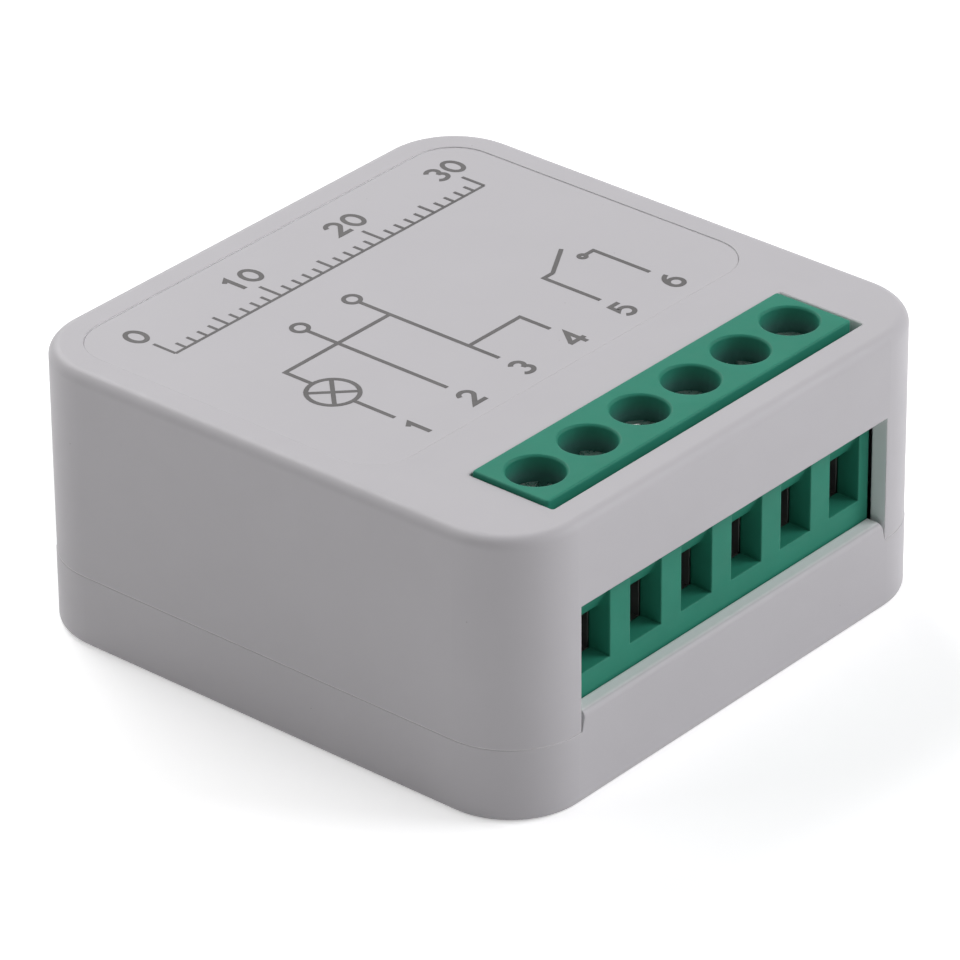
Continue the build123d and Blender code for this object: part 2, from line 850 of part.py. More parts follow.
def relay_fixed_terminal():
    """Fixed terminal: a shelf, an upright leg on the base and its pin."""
    half = fixed_width_share * relay_width / 2
    inner = fixed_leg_outer - fixed_leg
    shelf_start = contact_x - contact_diameter / 2
    shelf = span((shelf_start, fixed_leg_outer), (-half, half), (shelf_bottom, fixed_contact_bottom))
    leg = span((inner, fixed_leg_outer), (-half, half), (relay_base_height, fixed_contact_bottom))
    pin = span(
        (inner, fixed_leg_outer),
        (-relay_pin_width / 2, relay_pin_width / 2),
        (board_underside - tail, relay_base_height + fixed_leg),
    )
    return shelf + leg + pin


def relay_coil_pins():
    """Two pins below the bobbin's lower flange."""
    low, high = board_underside - tail, yoke_foot_top
    return [upright(coil_pin_diameter, coil_pin_x, side * coil_pin_across, low, high) for side in (-1, 1)]


def pairing_button():
    """Button cap: face in the rear wall, retaining flange and stem."""
    face = along_y(button_diameter, button_x, button_z, flange_front, half_depth - button_recess)
    face = fillet(face.edges().group_by(Axis.Y)[-1], button_edge)
    flange = along_y(flange_diameter, button_x, button_z, flange_front, flange_back)
    stem = along_y(button_stem, button_x, button_z, plunger_tip, flange_front + button_flange / 2)
    return face + flange + stem


def switch_body():
    """Body of the tact switch, bored for its plunger."""
    body = span(
        (button_x - switch_width / 2, button_x + switch_width / 2),
        (switch_front, switch_back),
        (board_top, board_top + switch_height),
    )
    bore = plunger_diameter + 2 * plunger_clearance
    deep = switch_back - plunger_seat - plunger_room
    return body - along_y(bore, button_x, button_z, deep, switch_back + overrun)


def switch_plunger():
    """Plunger of the tact switch."""
    return along_y(plunger_diameter, button_x, button_z, switch_back - plunger_seat, plunger_tip)


def radio_board():
    """Radio module's board, with holes for its pins."""
    across = (radio_x - radio_half_width, radio_x + radio_half_width)
    plate = span(across, (radio_front, radio_back), (radio_bottom, radio_top))
    hole = radio_pin_size * math.sqrt(2) + 2 * lead_gap
    low, high = radio_bottom - overrun, radio_top + overrun
    return plate - [upright(hole, x, y, low, high) for x, y in radio_pin_places()]


def radio_shield():
    """Shield can over the radio chip, open below."""
    half = radio_half_width - shield_side_gap
    back = shield_front + shield_depth
    top = radio_top + shield_height
    outer = span((radio_x - half, radio_x + half), (shield_front, back), (radio_top, top))
    outer = fillet(outer.edges().group_by(Axis.Z)[-1], shield_skin)
    inner_half = half - shield_skin
    inner = span(
        (radio_x - inner_half, radio_x + inner_half),
        (shield_front + shield_skin, back - shield_skin),
        (radio_top - overrun, top - shield_skin),
    )
    return outer - inner


def radio_chip():
    """Radio chip below the shield can."""
    middle = shield_front + shield_depth / 2
    half = radio_chip_size / 2
    return span(
        (radio_x - half, radio_x + half), (middle - half, middle + half),
        (radio_top, radio_top + radio_chip_height),
    )


def radio_strips():
    """Header strips that carry the radio module's board."""
    rows = [row for _, row in radio_pin_places()]
    along = (min(rows) - radio_pin_pitch / 2, max(rows) + radio_pin_pitch / 2)
    pin_room = radio_pin_size + 2 * lead_gap
    strips = []
    for side in (-1, 1):
        middle = radio_x + side * radio_pin_across
        across = (middle - strip_width / 2, middle + strip_width / 2)
        strip = span(across, along, (board_top, radio_bottom))
        for x, y in radio_pin_places():
            strip -= Pos(x, y, board_top) * Box(pin_room, pin_room, 2 * (strip_height + overrun))
        strips.append(strip)
    return strips


def radio_pin_set():
    """Pins through the strips and both boards."""
    low = board_bottom - tail
    high = radio_top + radio_pin_head
    half = radio_pin_size / 2
    return [span((x - half, x + half), (y - half, y + half), (low, high)) for x, y in radio_pin_places()]


def lead(x, y, high):
    """One round lead, from below the board up to a height."""
    return upright(lead_diameter, x, y, board_bottom - tail, high)


def can_capacitor(place_share, diameter, roof_gap):
    """Upright capacitor can with its rolled groove and two leads."""
    x = place_share * board_half_width
    can = upright(diameter, x, row_y, board_top, roof_underside - roof_gap)
    can = fillet(can.edges().group_by(Axis.Z)[-1], can_edge)
    ring_low = board_top + can_groove_height
    ring = upright(diameter + overrun, x, row_y, ring_low, ring_low + can_groove)
    ring -= upright(diameter - 2 * can_groove, x, row_y, ring_low - overrun, ring_low + overrun)
    can -= ring
    for lead_x, lead_y in row_leads(place_share):
        can += lead(lead_x, lead_y, board_top + overrun)
    return can


def inductor_core():
    """Drum core of the inductor, with its two leads."""
    x = inductor_place_share * board_half_width
    top = board_top + drum_height
    body = upright(drum_waist, x, row_y, board_top, top)
    body += upright(drum_diameter, x, row_y, board_top, board_top + drum_rim)
    body += upright(drum_diameter, x, row_y, top - drum_rim, top)
    for lead_x, lead_y in row_leads(inductor_place_share):
        body += lead(lead_x, lead_y, board_top + overrun)
    return body


def inductor_winding():
    """Winding in the waist of the drum."""
    x = inductor_place_share * board_half_width
    low = board_top + drum_rim
    high = board_top + drum_height - drum_rim
    ring = upright(drum_winding_share * board_half_width, x, row_y, low, high)
    return ring - upright(drum_waist + 2 * bore_clearance, x, row_y, low - overrun, high + overrun)


def varistor():
    """Varistor disc on its two leads."""
    x, y = in_rear_room(varistor_place_share)
    middle = board_top + varistor_lift + varistor_diameter / 2
    disc = Pos(x, y, middle) * Rot(0, 90, 0) * Cylinder(varistor_diameter / 2, varistor_thickness)
    disc = fillet(disc.edges().filter_by(GeomType.CIRCLE), varistor_edge)
    for lead_x, lead_y in rear_leads(varistor_place_share, varistor_pitch / 2):
        disc += lead(lead_x, lead_y, middle)
    return disc


def fuse_resistor():
    """Fusible resistor, lying on its bent leads."""
    x, y = in_rear_room(fuse_place_share)
    z = board_top + fuse_lift + fuse_diameter / 2
    body = along_y(fuse_diameter, x, z, y - fuse_length / 2, y + fuse_length / 2)
    body = fillet(body.edges().filter_by(GeomType.CIRCLE), fuse_edge)
    body += along_y(lead_diameter, x, z, y - fuse_reach, y + fuse_reach)
    for lead_x, lead_y in rear_leads(fuse_place_share, fuse_reach):
        body += lead(lead_x, lead_y, z + lead_diameter / 2)
    return body


def surface_part(place_share, size_share, height, under=True):
    """Small moulded part soldered flat to one face of the board."""
    x, y = in_rear_room(place_share)
    along = size_share[0] * board_half_width
    across = size_share[1] * rear_room
    z_range = (board_bottom - height, board_bottom) if under else (board_top, board_top + height)
    return span((x - along / 2, x + along / 2), (y - across / 2, y + across / 2), z_range)


def chip_parts(place_shares):
    """Chip resistors or capacitors below the board."""
    return [surface_part(place, chip_size_share, chip_height) for place in place_shares]


def all_parts():
    """Every node of the module: its name and its solid or solids."""
    parts = {
        "top_shell": top_shell(),
        "base_cover": base_cover(),
        "label_film": label_film(),
        "pairing_button": pairing_button(),
        "main_board": main_board(),
        "terminal_housing": terminal_housing(),
        "contact_bars": [contact_bar(x) for x in pole_places],
        "tact_switch_body": switch_body(),
        "tact_switch_plunger": switch_plunger(),
        "radio_board": radio_board(),
        "radio_shield": radio_shield(),
        "radio_chip": radio_chip(),
        "radio_header_strips": radio_strips(),
        "radio_header_pins": radio_pin_set(),
        "bulk_capacitor": can_capacitor(bulk_place_share, bulk_diameter, bulk_roof_gap),
        "output_capacitor": can_capacitor(output_place_share, output_diameter, output_roof_gap),
        "inductor_core": inductor_core(),
        "inductor_winding": inductor_winding(),
        "varistor": varistor(),
        "fuse_resistor": fuse_resistor(),
        "rectifier": surface_part(rectifier_place_share, rectifier_size_share, rectifier_height),
        "converter_chip": surface_part(converter_place_share, converter_size_share, converter_height),
        "voltage_regulator": surface_part(regulator_place_share, regulator_size_share, regulator_height),
        "relay_transistor": surface_part(transistor_place_share, transistor_size_share, transistor_height),
        "diodes": [surface_part(place, diode_size_share, diode_height) for place in diode_place_shares],
        "chip_resistors": chip_parts(chip_resistor_place_shares),
        "chip_capacitors": chip_parts(chip_capacitor_place_shares),
        "status_lamp": surface_part(lamp_place_share, lamp_size_share, lamp_height, under=False),
    }
    for number, x in enumerate(pole_places, start=1):
        parts[f"terminal_screw_{number}"] = terminal_screw(x, screw_turns[number - 1])
        parts[f"clamp_cage_{number}"] = clamp_cage(x)
    relay_parts = {
        "relay_base": relay_base(),
        "relay_cover": relay_cover(),
        "relay_yoke": relay_yoke(),
        "relay_core": relay_core(),
        "relay_bobbin": relay_bobbin(),
        "relay_coil": relay_coil(),
        "relay_armature": relay_armature(),
        "relay_contact_spring": relay_spring(),
        "relay_moving_contact": relay_moving_contact(),
        "relay_fixed_contact": relay_fixed_contact(),
        "relay_fixed_terminal": relay_fixed_terminal(),
    }
    for name, shape in relay_parts.items():
        parts[name] = relay_place * shape
    parts["relay_coil_pins"] = [relay_place * pin for pin in relay_coil_pins()]
    return parts


os.makedirs("parts", exist_ok=True)
for node, shape in all_parts().items():
    solid = Compound(children=list(shape)) if isinstance(shape, list) else shape
    export_step(solid, f"parts/{node}.step")
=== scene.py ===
import math

import bmesh
import bpy
from mathutils import Euler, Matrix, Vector


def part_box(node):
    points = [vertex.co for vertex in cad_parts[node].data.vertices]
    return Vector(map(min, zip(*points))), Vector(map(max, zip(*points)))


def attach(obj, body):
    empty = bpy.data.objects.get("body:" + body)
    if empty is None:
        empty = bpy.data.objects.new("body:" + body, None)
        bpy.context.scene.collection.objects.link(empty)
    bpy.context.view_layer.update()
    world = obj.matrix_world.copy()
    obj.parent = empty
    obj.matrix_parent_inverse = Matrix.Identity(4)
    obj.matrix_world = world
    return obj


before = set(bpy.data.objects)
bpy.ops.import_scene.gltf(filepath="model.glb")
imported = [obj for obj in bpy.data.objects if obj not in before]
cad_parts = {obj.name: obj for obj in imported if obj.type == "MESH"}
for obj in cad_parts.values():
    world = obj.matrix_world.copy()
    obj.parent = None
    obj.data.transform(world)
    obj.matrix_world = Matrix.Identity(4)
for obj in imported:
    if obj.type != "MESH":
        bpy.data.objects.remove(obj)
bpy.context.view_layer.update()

# A flat square relay module, white case and green six-pole terminal block.
# Everything is in metres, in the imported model's own frame; MM turns millimetres into metres.
MM = 0.001
POLES = 6
MODULE = "case"
WHITE = (1.0, 1.0, 1.0)

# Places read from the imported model
film_low, film_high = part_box("label_film")
block_low, block_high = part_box("terminal_housing")
shell_low, shell_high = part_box("top_shell")


# Shader helpers

# The Mix node's colour sockets, which share their names with its number and vector sockets
MIX_FIRST, MIX_SECOND, MIX_RESULT = 6, 7, 2
# How far a rounded normal turns from the true one where an edge's wear sets in and where it is full
WEAR_SETS_IN, WEAR_IS_FULL = 0.02, 0.3


def node_material(name):
    """Empty node material with its output and a Principled shader."""
    material = bpy.data.materials.new(name)
    material.use_nodes = True
    tree = material.node_tree
    tree.nodes.clear()
    output = tree.nodes.new("ShaderNodeOutputMaterial")
    shader = tree.nodes.new("ShaderNodeBsdfPrincipled")
    tree.links.new(shader.outputs["BSDF"], output.inputs["Surface"])
    return material, tree, shader


def object_place(tree):
    """Place of a point in the object's own coordinates, in metres."""
    return tree.nodes.new("ShaderNodeTexCoord").outputs["Object"]


def object_axes(tree):
    """The same place as three separate sockets, X, Y and Z."""
    parts = tree.nodes.new("ShaderNodeSeparateXYZ")
    tree.links.new(object_place(tree), parts.inputs["Vector"])
    return parts.outputs


def combine(tree, operation, first, second):
    """One number from two, by a Math node."""
    node = tree.nodes.new("ShaderNodeMath")
    node.operation = operation
    tree.links.new(first, node.inputs[0])
    tree.links.new(second, node.inputs[1])
    return node.outputs[0]


def noise(tree, scale, detail=3.0, roughness=0.55, stretch=None):
    """Noise in object coordinates; scale counts features per metre."""
    texture = tree.nodes.new("ShaderNodeTexNoise")
    texture.inputs["Scale"].default_value = scale
    texture.inputs["Detail"].default_value = detail
    texture.inputs["Roughness"].default_value = roughness
    source = object_place(tree)
    if stretch is not None:
        mapping = tree.nodes.new("ShaderNodeMapping")
        mapping.inputs["Scale"].default_value = stretch
        tree.links.new(source, mapping.inputs["Vector"])
        source = mapping.outputs["Vector"]
    tree.links.new(source, texture.inputs["Vector"])
    return texture.outputs["Fac"]


def spread(tree, value, low, high, start=0.3, end=0.7):
    """Map a value from start..end to low..high."""
    node = tree.nodes.new("ShaderNodeMapRange")
    node.inputs["From Min"].default_value = start
    node.inputs["From Max"].default_value = end
    node.inputs["To Min"].default_value = low
    node.inputs["To Max"].default_value = high
    tree.links.new(value, node.inputs["Value"])
    return node.outputs["Result"]


def tint(tree, factor, first, second):
    """Mix of two colours by a factor; either may be a colour or a socket."""
    node = tree.nodes.new("ShaderNodeMix")
    node.data_type = "RGBA"
    tree.links.new(factor, node.inputs["Factor"])
    for socket, colour in ((MIX_FIRST, first), (MIX_SECOND, second)):
        if isinstance(colour, tuple):
            node.inputs[socket].default_value = (*colour, 1.0)
        else:
            tree.links.new(colour, node.inputs[socket])
    return node.outputs[MIX_RESULT]


def rounded_normal(tree, radius, samples):
    """Normal as if the edges were rounded by a radius."""
    bevel = tree.nodes.new("ShaderNodeBevel")
    bevel.samples = samples
    bevel.inputs["Radius"].default_value = radius
    return bevel.outputs["Normal"]


def facing(tree, direction):
    """1 where the true normal looks along a direction, a tuple or a socket, and -1 against it."""
    geometry = tree.nodes.new("ShaderNodeNewGeometry")
    dot = tree.nodes.new("ShaderNodeVectorMath")
    dot.operation = "DOT_PRODUCT"
    tree.links.new(geometry.outputs["Normal"], dot.inputs[0])
    if isinstance(direction, tuple):
        dot.inputs[1].default_value = direction
    else:
        tree.links.new(direction, dot.inputs[1])
    return dot.outputs["Value"]


def edge_mask(tree, radius):
    """Near 1 on worn edges: where a rounded normal leaves the true one."""
    kept = facing(tree, rounded_normal(tree, radius, samples=4))
    return spread(tree, kept, 1.0, 0.0, 1.0 - WEAR_IS_FULL, 1.0 - WEAR_SETS_IN)


def region(tree, low, high, direction=None, slant=0.5, square=0.9, soft=0.1 * MM):
    """1 inside a box, in metres, fading to 0 over a soft border.

    With a direction, it is 1 only on faces that look along it, from square, and 0 from slant.
    """
    masks = []
    if direction is not None:
        masks.append(spread(tree, facing(tree, direction), 0.0, 1.0, slant, square))
    axes = object_axes(tree)
    for axis, start, end in zip("XYZ", low, high):
        masks.append(spread(tree, axes[axis], 0.0, 1.0, start - soft, start))
        masks.append(spread(tree, axes[axis], 0.0, 1.0, end + soft, end))
    total = masks[0]
    for mask in masks[1:]:
        total = combine(tree, "MULTIPLY", total, mask)
    return total


def relief(tree, shader, height, distance, strength, round_edge=None):
    """Bump from a height; edges may be rounded in the shading only."""
    bump = tree.nodes.new("ShaderNodeBump")
    bump.inputs["Strength"].default_value = strength
    bump.inputs["Distance"].default_value = distance
    tree.links.new(height, bump.inputs["Height"])
    if round_edge is not None:
        tree.links.new(rounded_normal(tree, round_edge, samples=6), bump.inputs["Normal"])
    tree.links.new(bump.outputs["Normal"], shader.inputs["Normal"])


# Dust on the pale case: how wide a speck is, how far apart they lie, and how much its middle covers
DUST_SIZE = 0.09 * MM
DUST_SPACING = 2.7 * MM
DUST_COVER = 0.8


def specks(tree, base, colour):
    """Sparse dust specks over a base colour, each fading from half its radius."""
    cells = tree.nodes.new("ShaderNodeTexVoronoi")
    cells.inputs["Scale"].default_value = 1.0 / DUST_SPACING
    tree.links.new(object_place(tree), cells.inputs["Vector"])
    radius = DUST_SIZE / 2 / DUST_SPACING
    near = spread(tree, cells.outputs["Distance"], DUST_COVER, 0.0, radius / 2, radius)
    return tint(tree, near, base, colour)


def moulded(name, colour, variation=0.04, rough=(0.42, 0.56), grain=9000.0, grain_depth=0.006,
            wear=0.0, worn=None, edge=0.08, specular=0.5, patch=160.0, transmission=0.0,
            dust=None, painted_light_and_shade=None):
    """Moulded plastic: two close tones, uneven gloss, a fine grain and edges rubbed lighter.

    Grain and patch count features per metre; edge and grain_depth are in millimetres.
    """
    material, tree, shader = node_material(name)
    lighter = tuple(min(1.0, c * (1 + variation)) for c in colour)
    darker = tuple(c * (1 - variation) for c in colour)
    base = tint(tree, spread(tree, noise(tree, patch), 0.0, 1.0), darker, lighter)
    if worn is not None:
        mask = spread(tree, edge_mask(tree, edge * MM), 0.0, wear, 0.0, 1.0)
        base = tint(tree, mask, base, worn)
    # Painted light and shade from a given function, laid over the plastic's own tones
    if painted_light_and_shade is not None:
        base = painted_light_and_shade(tree, base)
    if dust is not None:
        base = specks(tree, base, dust)
    tree.links.new(base, shader.inputs["Base Color"])
    gloss = spread(tree, noise(tree, patch * 3, detail=4.0), *rough)
    tree.links.new(gloss, shader.inputs["Roughness"])
    shader.inputs["Specular IOR Level"].default_value = specular
    shader.inputs["Transmission Weight"].default_value = transmission
    bumps = noise(tree, grain, detail=2.0)
    relief(tree, shader, bumps, grain_depth * MM, strength=0.5, round_edge=edge * MM)
    return material


# Tarnish on metal: its clouds per metre, the noise that they start and end at, and the rubbed edges
TARNISH_CLOUDS = 420.0
TARNISH_START, TARNISH_END = 0.42, 0.75
RUBBED_TONE = 1.2
RUBBED_COVER = 0.6


def metal(name, colour, rough=(0.25, 0.45), stretch=None, scale=2500.0, depth=0.004,
          stain=(0.5, 0.5, 0.5), stained=0.25, edge=0.06):
    """Plated or drawn metal: tool marks, a little tarnish and bright edges.

    Scale counts marks per metre; depth and edge are in millimetres.
    """
    material, tree, shader = node_material(name)
    marks = noise(tree, scale, detail=5.0, roughness=0.6, stretch=stretch)
    clouds = noise(tree, TARNISH_CLOUDS, detail=4.0)
    clouds = spread(tree, clouds, 0.0, stained, TARNISH_START, TARNISH_END)
    base = tint(tree, clouds, colour, stain)
    bright = tuple(min(1.0, c * RUBBED_TONE) for c in colour)
    rubbed = spread(tree, edge_mask(tree, edge * MM), 0.0, RUBBED_COVER, 0.0, 1.0)
    tree.links.new(tint(tree, rubbed, base, bright), shader.inputs["Base Color"])
    shader.inputs["Metallic"].default_value = 1.0
    tree.links.new(spread(tree, marks, *rough), shader.inputs["Roughness"])
    relief(tree, shader, marks, depth * MM, strength=0.6, round_edge=edge * MM)
    return material


# Between the turns of a winding: its tone there, as a share, and how deep the valleys look
VALLEY_TONE = 0.35
VALLEY_DEPTH = 0.05 * MM


def wound_wire(name, colour, pitch):
    """Enamelled wire laid in turns along Z, one turn in each pitch."""
    material, tree, shader = node_material(name)
    wave = tree.nodes.new("ShaderNodeTexWave")
    wave.wave_type = "BANDS"
    wave.bands_direction = "Z"
    # At a scale of 1 the bands repeat every pi / 10 metres
    wave.inputs["Scale"].default_value = math.pi / 10 / pitch
    wave.inputs["Distortion"].default_value = 0.6
    wave.inputs["Detail"].default_value = 2.0
    tree.links.new(object_place(tree), wave.inputs["Vector"])
    dark = tuple(c * VALLEY_TONE for c in colour)
    turns = wave.outputs["Fac"]
    tree.links.new(tint(tree, turns, dark, colour), shader.inputs["Base Color"])
    shader.inputs["Metallic"].default_value = 0.6
    gloss = spread(tree, noise(tree, scale=1500.0), low=0.2, high=0.36)
    tree.links.new(gloss, shader.inputs["Roughness"])
    relief(tree, shader, turns, VALLEY_DEPTH, strength=0.8)
    return material


# Painted light and shade on single faces

HOLE_TONE = (0.036, 0.122, 0.104)
TONGUE_PAINTED_LIGHT = (0.76, 0.75, 0.76)
SEAM_PAINTED_HIGHLIGHT = (0.72, 0.70, 0.71)
PAINTED_LIGHT_TONE = (0.88, 0.87, 0.88)
UP = (0.0, 0.0, 1.0)

# Depths below the block's top, and behind its front, where the shade sets in and where it is full
SHADE_TOP, SHADE_DEEP = 0.15 * MM, 1.3 * MM
SHADE_FRONT, SHADE_BACK = 1.75 * MM, 1.9 * MM


def block_shade(tree, base):
    """Darker tone down in the block, seen in its holes and entries, where little light returns."""
    axes = object_axes(tree)
    depth = spread(tree, axes["Z"], 1.0, 0.0, block_high.z - SHADE_DEEP, block_high.z - SHADE_TOP)
    behind = spread(tree, axes["Y"], 0.0, 1.0, block_low.y + SHADE_FRONT, block_low.y + SHADE_BACK)
    return tint(tree, combine(tree, "MULTIPLY", depth, behind), base, HOLE_TONE)


# The top of the base's tongue: how far it lies above the seam and how far it reaches in
TONGUE_LOW, TONGUE_HIGH = 0.7 * MM, 1.5 * MM
TONGUE_REACH = 1.6 * MM


def tongue_light(tree, base):
    """Painted light: a paler tone on the top of the base's tongue, which the block shades from the
    lamps.
    """
    low = (shell_low.x, shell_low.y, shell_low.z + TONGUE_LOW)
    high = (shell_high.x, shell_low.y + TONGUE_REACH, shell_low.z + TONGUE_HIGH)
    # Painted light on the tongue's top, where the block shades it
    top = region(tree, low, high, UP, slant=0.88, square=0.99)
    return tint(tree, top, base, TONGUE_PAINTED_LIGHT)


# The painted highlight line on the shell's lower edge, in place of light caught at the seam: its
# full height, its fade and how much it covers
SEAM_FULL, SEAM_FADE = 0.03 * MM, 0.08 * MM
SEAM_COVER = 0.8
# How far beyond the block's ends the end walls of its slot and window may lie
END_REACH = 1.2 * MM
# The room round the film and under it, how far below the roof its paler walls end, and the fade
GROOVE_ROOM, GROOVE_DEPTH, GROOVE_TOP = 0.05 * MM, 0.1 * MM, 0.01 * MM
GROOVE_FADE = 0.005 * MM


def shell_light(tree, base):
    """Painted highlight on the shell's lower edge, and painted light on the walls at the ends of
    the slot and window and round the film, which lie in shade.
    """
    height = object_axes(tree)["Z"]
    # Painted highlight along the shell's lower edge, in place of light caught at the seam
    edge = spread(tree, height, SEAM_COVER, 0.0, shell_low.z + SEAM_FULL, shell_low.z + SEAM_FADE)
    base = tint(tree, edge, base, SEAM_PAINTED_HIGHLIGHT)
    # Painted light on the shaded end walls of the slot and window
    for inward, start in ((-1.0, block_high.x), (1.0, block_low.x - END_REACH)):
        low = (start, shell_low.y, shell_low.z)
        high = (start + END_REACH, block_high.y, shell_high.z)
        end_wall_light_mask = region(tree, low, high, (inward, 0.0, 0.0))
        base = tint(tree, end_wall_light_mask, base, PAINTED_LIGHT_TONE)
    # Painted light on the walls round the film, against the shade in their narrow gap
    low = (film_low.x - GROOVE_ROOM, film_low.y - GROOVE_ROOM, film_low.z - GROOVE_DEPTH)
    high = (film_high.x + GROOVE_ROOM, film_high.y + GROOVE_ROOM, shell_high.z - GROOVE_TOP)
    groove_light_mask = region(tree, low, high, soft=GROOVE_FADE)
    return tint(tree, groove_light_mask, base, PAINTED_LIGHT_TONE)


# Materials

CASE_TONE = (0.50, 0.485, 0.505)
CASE_WORN = (0.56, 0.545, 0.565)
CASE_DUST = (0.16, 0.15, 0.15)
case_look = dict(
    variation=0.012, rough=(0.46, 0.54), grain=14000.0, grain_depth=0.004,
    wear=0.35, worn=CASE_WORN, edge=0.12, specular=0.4, dust=CASE_DUST,
)
# Painted light on the base's tongue, and on the shell's lower edge and the walls at its slot,
# window and film
base_plastic = moulded("case_plastic", CASE_TONE, painted_light_and_shade=tongue_light, **case_look)
shell_plastic = moulded("shell_plastic", CASE_TONE, painted_light_and_shade=shell_light, **case_look)
label_film = moulded(
    "label_film", CASE_TONE, variation=0.01, rough=(0.40, 0.48), grain=20000.0, grain_depth=0.002,
    wear=0.3, worn=CASE_WORN, edge=0.05, specular=0.4, dust=CASE_DUST,
)
button_plastic = moulded(
    "button_plastic", (0.47, 0.46, 0.475), variation=0.015, rough=(0.4, 0.5), grain=14000.0,
    grain_depth=0.003, wear=0.3, worn=(0.55, 0.54, 0.55), edge=0.1,
)
terminal_green = moulded(
    "terminal_green", (0.028, 0.222, 0.151), variation=0.05, rough=(0.40, 0.52), grain=11000.0,
    grain_depth=0.005, wear=0.3, worn=(0.075, 0.31, 0.22), edge=0.18, specular=0.12, patch=260.0,
    painted_light_and_shade=block_shade,
)
print_ink = moulded(
    "print_ink", (0.090, 0.085, 0.085), variation=0.08, rough=(0.5, 0.65), grain_depth=0.002,
    edge=0.01,
)
black_plastic = moulded(
    "black_plastic", (0.018, 0.018, 0.020), variation=0.15, rough=(0.42, 0.6), grain_depth=0.008,
    wear=0.4, worn=(0.07, 0.07, 0.075),
)
relay_plastic = moulded(
    "relay_cover_plastic", (0.02, 0.028, 0.06), variation=0.1, rough=(0.2, 0.34), grain=5000.0,
    grain_depth=0.003, wear=0.35, worn=(0.08, 0.10, 0.16), edge=0.15,
)
bobbin_plastic = moulded(
    "bobbin_plastic", (0.55, 0.50, 0.38), variation=0.05, rough=(0.45, 0.6), grain=8000.0,
)
board_laminate = moulded(
    "board_laminate", (0.010, 0.075, 0.035), variation=0.22, rough=(0.25, 0.4), grain=3200.0,
    grain_depth=0.012, wear=0.7, worn=(0.34, 0.30, 0.17), edge=0.1, patch=900.0,
)
can_sleeve = moulded(
    "can_sleeve", (0.012, 0.016, 0.040), variation=0.12, rough=(0.22, 0.36), grain=2600.0,
    grain_depth=0.004, wear=0.5, worn=(0.45, 0.45, 0.46), edge=0.12,
)
ferrite = moulded(
    "ferrite", (0.035, 0.035, 0.038), variation=0.25, rough=(0.5, 0.75), grain=7000.0,
    grain_depth=0.02,
)
blue_epoxy = moulded(
    "blue_epoxy", (0.012, 0.045, 0.24), variation=0.12, rough=(0.18, 0.3), grain=1800.0,
    grain_depth=0.02,
)
resistor_coat = moulded(
    "resistor_coat", (0.09, 0.17, 0.24), variation=0.08, rough=(0.35, 0.5), grain=2600.0,
    grain_depth=0.012,
)
lamp_resin = moulded(
    "lamp_resin", (0.72, 0.72, 0.52), rough=(0.15, 0.25), grain=4000.0, grain_depth=0.002,
    transmission=0.35,
)
ceramic = moulded(
    "ceramic", (0.36, 0.25, 0.14), variation=0.08, rough=(0.4, 0.55), grain=8000.0,
)

# Metals; a small number in stretch draws the marks out along that axis
screw_steel = metal(
    "screw_steel", (0.84, 0.84, 0.82), rough=(0.24, 0.40), stretch=(1.0, 1.0, 0.15),
    scale=3500.0, depth=0.0025, stain=(0.30, 0.29, 0.27), stained=0.35, edge=0.07,
)
cage_steel = metal(
    "cage_steel", (0.24, 0.235, 0.23), rough=(0.38, 0.58), stretch=(1.0, 0.08, 1.0),
    scale=2600.0, depth=0.005, stain=(0.14, 0.13, 0.12), stained=0.35,
)
tinned_brass = metal(
    "tinned_brass", (0.66, 0.63, 0.55), rough=(0.25, 0.4), stretch=(1.0, 1.0, 0.1), scale=2200.0,
)
shield_tin = metal(
    "shield_tin", (0.64, 0.64, 0.62), rough=(0.28, 0.42), stretch=(1.0, 0.1, 1.0), scale=1800.0,
    depth=0.003,
)
soft_iron = metal(
    "soft_iron", (0.42, 0.42, 0.43), rough=(0.32, 0.5), stretch=(0.2, 1.0, 1.0), scale=1800.0,
)
spring_bronze = metal(
    "spring_bronze", (0.62, 0.40, 0.20), rough=(0.2, 0.34), stretch=(1.0, 0.1, 1.0), scale=2000.0,
)
contact_silver = metal(
    "contact_silver", (0.75, 0.74, 0.72), rough=(0.12, 0.25), scale=3000.0, depth=0.002,
)
copper_wire = wound_wire("copper_wire", (0.50, 0.17, 0.06), pitch=0.12 * MM)

finishes = {
    "top_shell": shell_plastic, "base_cover": base_plastic, "label_film": label_film,
    "pairing_button": button_plastic, "main_board": board_laminate,
    "terminal_housing": terminal_green, "contact_bars": tinned_brass,
    "tact_switch_body": black_plastic, "tact_switch_plunger": black_plastic,
    "radio_board": board_laminate, "radio_shield": shield_tin, "radio_chip": black_plastic,
    "radio_header_strips": black_plastic, "radio_header_pins": tinned_brass,
    "bulk_capacitor": can_sleeve, "output_capacitor": can_sleeve, "inductor_core": ferrite,
    "inductor_winding": copper_wire, "varistor": blue_epoxy, "fuse_resistor": resistor_coat,
    "rectifier": black_plastic, "converter_chip": black_plastic,
    "voltage_regulator": black_plastic, "relay_transistor": black_plastic,
    "diodes": black_plastic, "chip_resistors": ferrite, "chip_capacitors": ceramic,
    "status_lamp": lamp_resin, "relay_base": black_plastic, "relay_cover": relay_plastic,
    "relay_yoke": soft_iron, "relay_core": soft_iron, "relay_bobbin": bobbin_plastic,
    "relay_coil": copper_wire, "relay_armature": soft_iron,
    "relay_contact_spring": spring_bronze, "relay_moving_contact": contact_silver,
    "relay_fixed_contact": contact_silver, "relay_fixed_terminal": tinned_brass,
    "relay_coil_pins": tinned_brass,
}
for pole in range(1, POLES + 1):
    finishes[f"terminal_screw_{pole}"] = screw_steel
    finishes[f"clamp_cage_{pole}"] = cage_steel

for name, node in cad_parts.items():
    node.data.materials.clear()
    node.data.materials.append(finishes[name])


# Print on the label film

